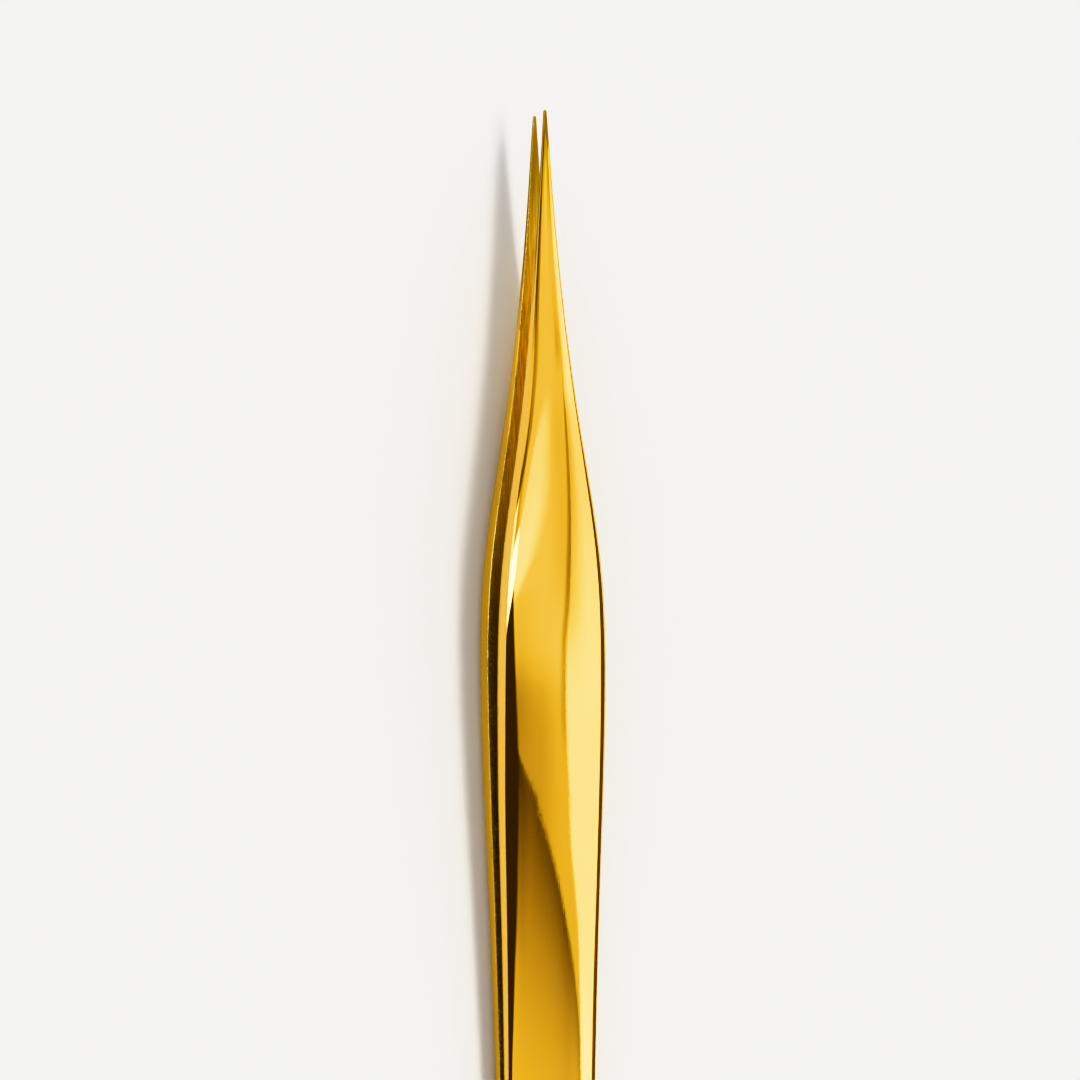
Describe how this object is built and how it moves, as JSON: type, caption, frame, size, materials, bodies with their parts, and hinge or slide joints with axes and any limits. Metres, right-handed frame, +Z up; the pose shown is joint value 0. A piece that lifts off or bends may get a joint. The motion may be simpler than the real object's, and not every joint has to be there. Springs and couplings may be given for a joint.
{
  "type": "stamp tongs",
  "caption": "Straight stamp tongs with needle-fine tips: two sprung half-round blades, leaf-shaped and gold-plated, spot-welded at the tail.",
  "frame": {"origin": "on the table under the middle of the tongs, which lie on the lower blade and touch the table with the tail and the belly", "axes": "+X across the blades, +Y along the tongs towards the tips, +Z up off the table; the mirror plane between the blades leans 1.95 degrees about X"},
  "size_m": [0.0098, 0.12, 0.0071],
  "materials": {
    "gold_plate": "polished",
    "fused_steel": "satin"
  },
  "bodies": {
    "tail": {"upper_blade_tail": "gold_plate", "lower_blade_tail": "gold_plate", "spot_welds": "fused_steel"},
    "upper_arm": {"upper_blade_arm": "gold_plate"},
    "lower_arm": {"lower_blade_arm": "gold_plate"}
  },
  "joints": [
    {"name": "upper_arm_flex", "type": "hinge", "parent": "tail", "child": "upper_arm", "pos_m": [0, -0.03598, 0.00192], "axis": [-1, 0, 0], "range_deg": [0, 0.54], "stiffness_Nm_per_rad": 4.5},
    {"name": "lower_arm_flex", "type": "hinge", "parent": "tail", "child": "lower_arm", "pos_m": [0, -0.03597, 0.00162], "axis": [1, 0, 0], "range_deg": [0, 0.54], "stiffness_Nm_per_rad": 4.5}
  ]
}
